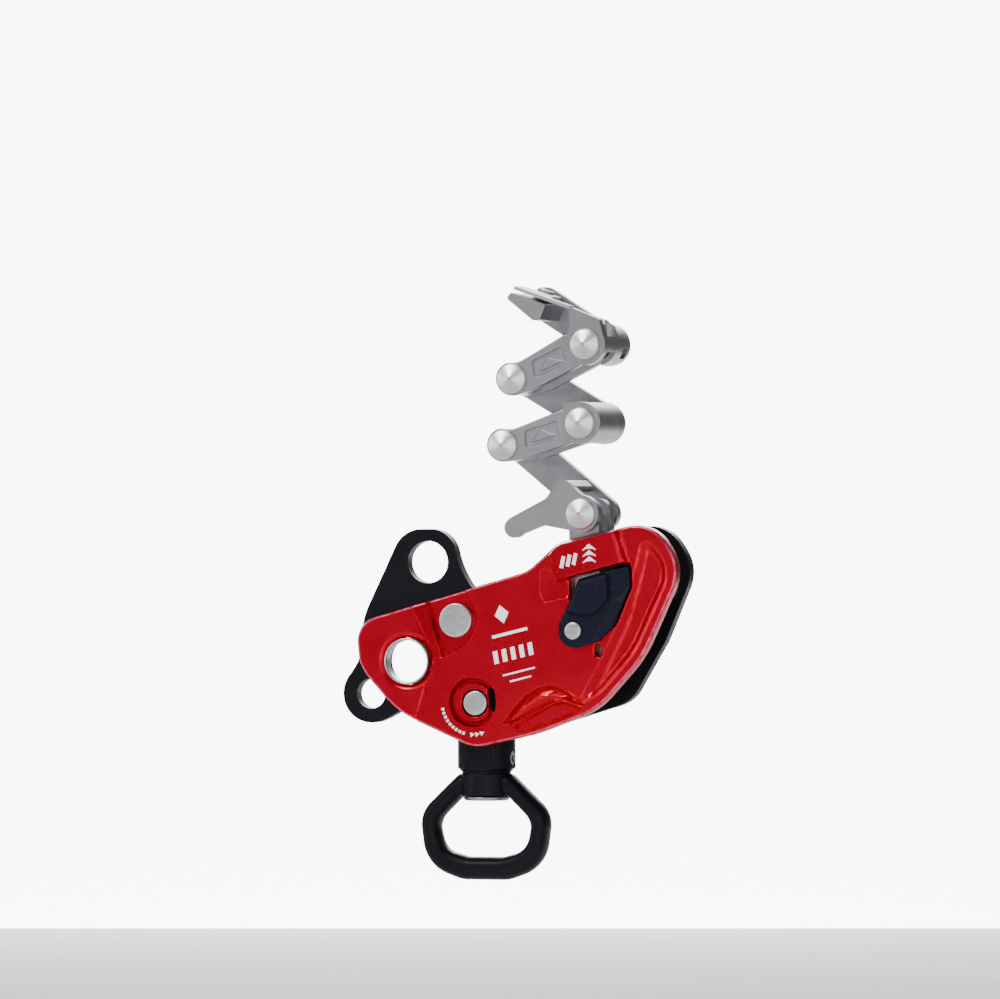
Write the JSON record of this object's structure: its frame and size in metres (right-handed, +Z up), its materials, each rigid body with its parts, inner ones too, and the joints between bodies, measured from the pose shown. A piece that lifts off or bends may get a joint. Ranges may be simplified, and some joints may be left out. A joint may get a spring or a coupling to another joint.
{
  "type": "ascender",
  "caption": "Mechanical rope ascender with two cheek plates, a sprung cam, a folding chain of friction links, a connector eye above and a swivel eye below.",
  "frame": {"origin": "centre of the upper connector eye, at half the attachment plate's depth", "axes": "+Z up, +X across the device toward the rope side, -Y out of the front plate"},
  "size_m": [0.1178, 0.0333, 0.1978],
  "materials": {
    "black_anodised": "black satin anodised",
    "red_anodised": "red bright anodised",
    "link_aluminium": "tumbled satin, clear anodised",
    "steel": "turned stainless",
    "spring_steel": "bright wire",
    "bronze": "plain bearing bronze",
    "catch_plastic": "grained moulding"
  },
  "bodies": {
    "frame": {"attachment_plate": "black_anodised", "rear_cheek": "black_anodised", "anvil": "link_aluminium", "pivot_rivet": "steel", "anvil_screw": "steel", "cam_axle": "steel", "swivel_axle": "steel", "cheek_post": "link_aluminium", "cheek_post_screw": "steel"},
    "front": {"front_plate": "red_anodised", "eyelet": "steel", "lock_stud": "steel", "catch_rivet": "steel", "catch_spring": "spring_steel"},
    "catch_lever": {"catch": "catch_plastic"},
    "cam_lever": {"cam": "link_aluminium", "cam_bush": "bronze", "cam_spring": "spring_steel", "base_pin": "steel", "base_spacer": "steel"},
    "lower": {"lower_link": "link_aluminium"},
    "rung_2": {"rung_2_front_plate": "link_aluminium", "rung_2_rear_plate": "link_aluminium", "rung_2_left_pin": "steel", "rung_2_right_pin": "steel", "rung_2_left_sleeve": "steel", "rung_2_right_sleeve": "steel"},
    "middle": {"u_link": "link_aluminium"},
    "rung_3": {"rung_3_front_plate": "link_aluminium", "rung_3_rear_plate": "link_aluminium", "rung_3_left_pin": "steel", "rung_3_right_pin": "steel", "rung_3_left_sleeve": "steel", "rung_3_right_sleeve": "steel"},
    "top": {"top_link": "link_aluminium", "gate_rivet": "steel", "gate_washer": "spring_steel"},
    "gate_leaf": {"gate": "link_aluminium"},
    "swivel": {"swivel_block": "black_anodised", "swivel_bolt": "steel", "swivel_lock_screw": "steel", "swivel_washer": "catch_plastic"},
    "eye": {"swivel_eye": "black_anodised"}
  },
  "joints": [
    {"name": "front_plate_opening", "type": "hinge", "parent": "frame", "child": "front", "pos_m": [0.0113, -0.0053, -0.0193], "axis": [0, 1, 0], "range_deg": [0, 60]},
    {"name": "catch_release", "type": "hinge", "parent": "front", "child": "catch_lever", "pos_m": [0.053, -0.0088, -0.0226], "axis": [0, 1, 0], "range_deg": [0, 8]},
    {"name": "cam_tilt", "type": "hinge", "parent": "frame", "child": "cam_lever", "pos_m": [0.055, 0.0062, -0.024], "axis": [0, -1, 0], "range_deg": [-4, 12]},
    {"name": "lower_link_fold", "type": "hinge", "parent": "cam_lever", "child": "lower", "pos_m": [0.0545, 0.0062, 0.0161], "axis": [0, -1, 0], "range_deg": [-20, 14]},
    {"name": "rung_2_fold", "type": "hinge", "parent": "lower", "child": "rung_2", "pos_m": [0.0268, 0.0062, 0.03893], "axis": [0, 1, 0], "range_deg": [-20, 20]},
    {"name": "middle_link_fold", "type": "hinge", "parent": "rung_2", "child": "middle", "pos_m": [0.05488, 0.0062, 0.0462], "axis": [0, -1, 0], "range_deg": [-20, 20]},
    {"name": "rung_3_fold", "type": "hinge", "parent": "middle", "child": "rung_3", "pos_m": [0.02989, 0.0062, 0.06091], "axis": [0, 1, 0], "range_deg": [-20, 20]},
    {"name": "top_link_fold", "type": "hinge", "parent": "rung_3", "child": "top", "pos_m": [0.05658, 0.0062, 0.07225], "axis": [0, -1, 0], "range_deg": [-10, 20]},
    {"name": "gate_opening", "type": "hinge", "parent": "top", "child": "gate_leaf", "pos_m": [0.03563, 0.014, 0.08905], "axis": [-0.3256, 0, -0.9455], "range_deg": [0, 90]},
    {"name": "swivel_tilt", "type": "hinge", "parent": "frame", "child": "swivel", "pos_m": [0.0178, 0.0062, -0.0468], "axis": [0, -1, 0], "range_deg": [-30, 72]},
    {"name": "swivel_spin", "type": "hinge", "parent": "swivel", "child": "eye", "pos_m": [0.0178, 0.0062, -0.078], "axis": [0, 0, 1], "continuous": true}
  ]
}
